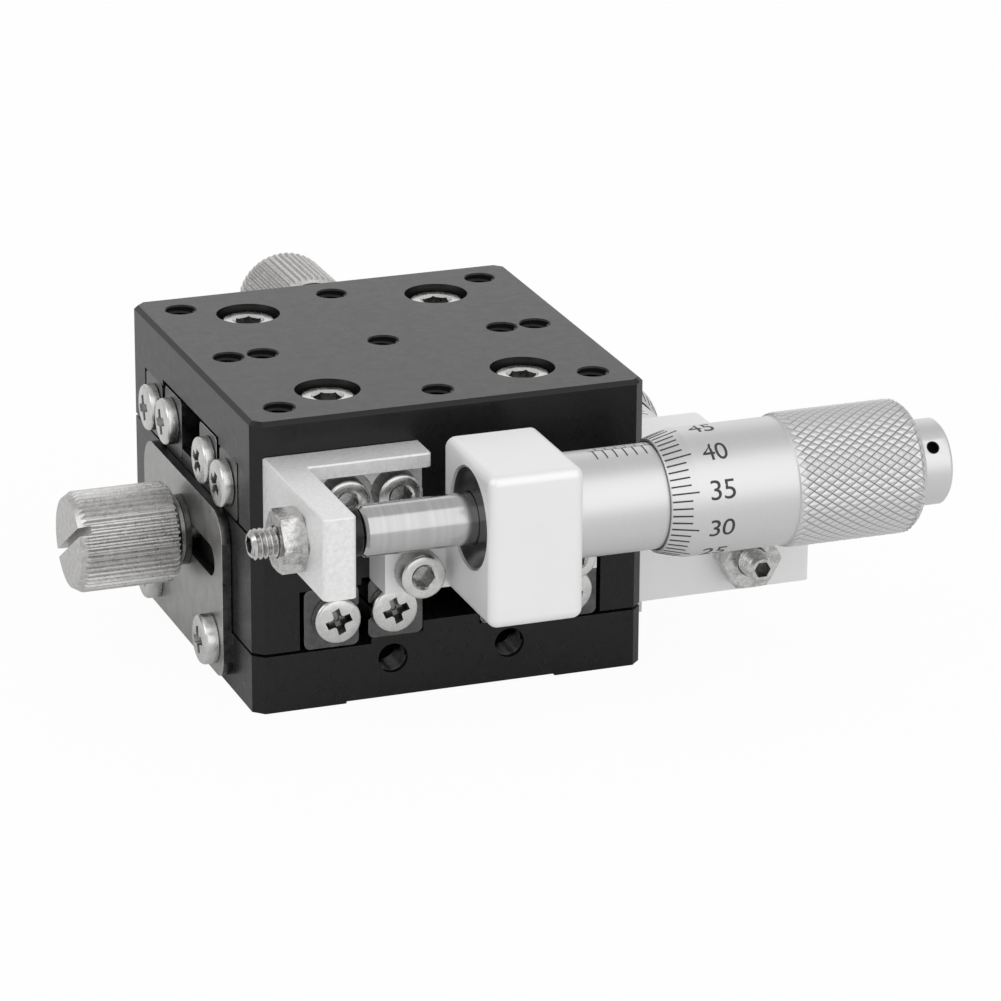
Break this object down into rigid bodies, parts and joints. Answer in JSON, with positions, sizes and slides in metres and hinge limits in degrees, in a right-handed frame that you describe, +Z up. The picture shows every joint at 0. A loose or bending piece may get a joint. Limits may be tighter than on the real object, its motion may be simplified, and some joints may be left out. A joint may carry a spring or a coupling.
{
  "type": "xy linear stage",
  "caption": "Manual two-axis linear stage: square members stacked on crossed roller guides, each axis pushed by a side micrometer head and held by a knurled lock.",
  "frame": {"origin": "centre of the base's underside, with both axes at mid travel", "axes": "+X along the table's travel, toward the end of its thimble; +Y along the middle's travel, toward the end of its thimble; +Z up, out of the table's face"},
  "size_m": [0.0786, 0.0841, 0.0296],
  "materials": {
    "black_anodised": "black anodised, fine satin grain",
    "clear_anodised": "clear anodised, fine blasted",
    "rail_steel": "ground bearing steel",
    "plated_screws": "bright nickel plated",
    "satin_chrome": "satin hard chrome",
    "hard_steel": "ground hardened steel",
    "plated_steel": "nickel plated",
    "nickel_knob": "nickel plated, straight knurl",
    "stainless_plate": "stainless, satin rolled",
    "cage_steel": "rolled sheet",
    "spring_steel": "drawn wire"
  },
  "bodies": {
    "base": {"base": "black_anodised", "y_inner_rail_right": "rail_steel", "y_inner_rail_left": "rail_steel", "y_inner_end_screws": "plated_screws", "y_inner_rail_screws": "plated_screws", "y_micrometer_holder": "clear_anodised", "y_holder_screws": "plated_screws", "y_sleeve": "satin_chrome", "y_lock_plate": "stainless_plate", "y_lock_plate_screws": "plated_screws", "y_spring_post": "plated_steel", "y_return_spring": "spring_steel"},
    "middle": {"middle": "black_anodised", "y_outer_rail_right": "rail_steel", "y_outer_rail_left": "rail_steel", "y_outer_end_screws": "plated_screws", "y_outer_rail_screws": "plated_screws", "y_push_bracket": "clear_anodised", "y_bracket_screws": "plated_screws", "y_anvil_screw": "plated_steel", "y_anvil_nut": "plated_steel", "y_spring_pin": "plated_steel", "x_inner_rail_right": "rail_steel", "x_inner_rail_left": "rail_steel", "x_inner_end_screws": "plated_screws", "x_inner_rail_screws": "plated_screws", "x_micrometer_holder": "clear_anodised", "x_holder_screws": "plated_screws", "x_sleeve": "satin_chrome", "x_lock_plate": "stainless_plate", "x_lock_plate_screws": "plated_screws", "x_spring_post": "plated_steel", "x_return_spring": "spring_steel"},
    "table": {"table": "black_anodised", "x_outer_rail_right": "rail_steel", "x_outer_rail_left": "rail_steel", "x_outer_end_screws": "plated_screws", "x_outer_rail_screws": "plated_screws", "x_push_bracket": "clear_anodised", "x_bracket_screws": "plated_screws", "x_anvil_screw": "plated_steel", "x_anvil_nut": "plated_steel", "x_spring_pin": "plated_steel"},
    "x_thimble": {"x_spindle": "hard_steel", "x_thimble": "satin_chrome", "x_thimble_cap": "satin_chrome"},
    "x_cages": {"x_cage_right": "cage_steel", "x_cage_left": "cage_steel", "x_rollers": "hard_steel"},
    "x_lock": {"x_lock_knob": "nickel_knob", "x_lock_washer": "plated_steel"},
    "y_thimble": {"y_spindle": "hard_steel", "y_thimble": "satin_chrome", "y_thimble_cap": "satin_chrome"},
    "y_cages": {"y_cage_right": "cage_steel", "y_cage_left": "cage_steel", "y_rollers": "hard_steel"},
    "y_lock": {"y_lock_knob": "nickel_knob", "y_lock_washer": "plated_steel"}
  },
  "joints": [
    {"name": "y_slide", "type": "slide", "parent": "base", "child": "middle", "axis": [0, 1, 0], "range_m": [-0.0065, 0.0065], "deforming": ["y_return_spring"]},
    {"name": "x_slide", "type": "slide", "parent": "middle", "child": "table", "axis": [1, 0, 0], "range_m": [-0.0065, 0.0065], "deforming": ["x_return_spring"]},
    {"name": "y_thimble_turn", "type": "hinge", "parent": "middle", "child": "y_thimble", "pos_m": [0.031, 0, 0.0099], "axis": [0, 1, 0], "range_deg": [-4680, 4680]},
    {"name": "x_thimble_turn", "type": "hinge", "parent": "table", "child": "x_thimble", "pos_m": [0, -0.031, 0.0219], "axis": [1, 0, 0], "range_deg": [-4680, 4680]},
    {"name": "y_cage_slide", "type": "slide", "parent": "base", "child": "y_cages", "axis": [0, 1, 0], "range_m": [-0.00325, 0.00325]},
    {"name": "x_cage_slide", "type": "slide", "parent": "middle", "child": "x_cages", "axis": [1, 0, 0], "range_m": [-0.00325, 0.00325]},
    {"name": "y_lock_turn", "type": "hinge", "parent": "middle", "child": "y_lock", "pos_m": [-0.021, 0, 0.0123], "axis": [-1, 0, 0], "range_deg": [0, 180]},
    {"name": "x_lock_turn", "type": "hinge", "parent": "table", "child": "x_lock", "pos_m": [0, 0.021, 0.0243], "axis": [0, 1, 0], "range_deg": [0, 180]}
  ],
  "couplings": [
    {"joint": "y_thimble_turn", "follows": "y_slide", "rad_per_m": 12566},
    {"joint": "y_cage_slide", "follows": "y_slide", "ratio": 0.5},
    {"joint": "x_thimble_turn", "follows": "x_slide", "rad_per_m": 12566},
    {"joint": "x_cage_slide", "follows": "x_slide", "ratio": 0.5}
  ]
}
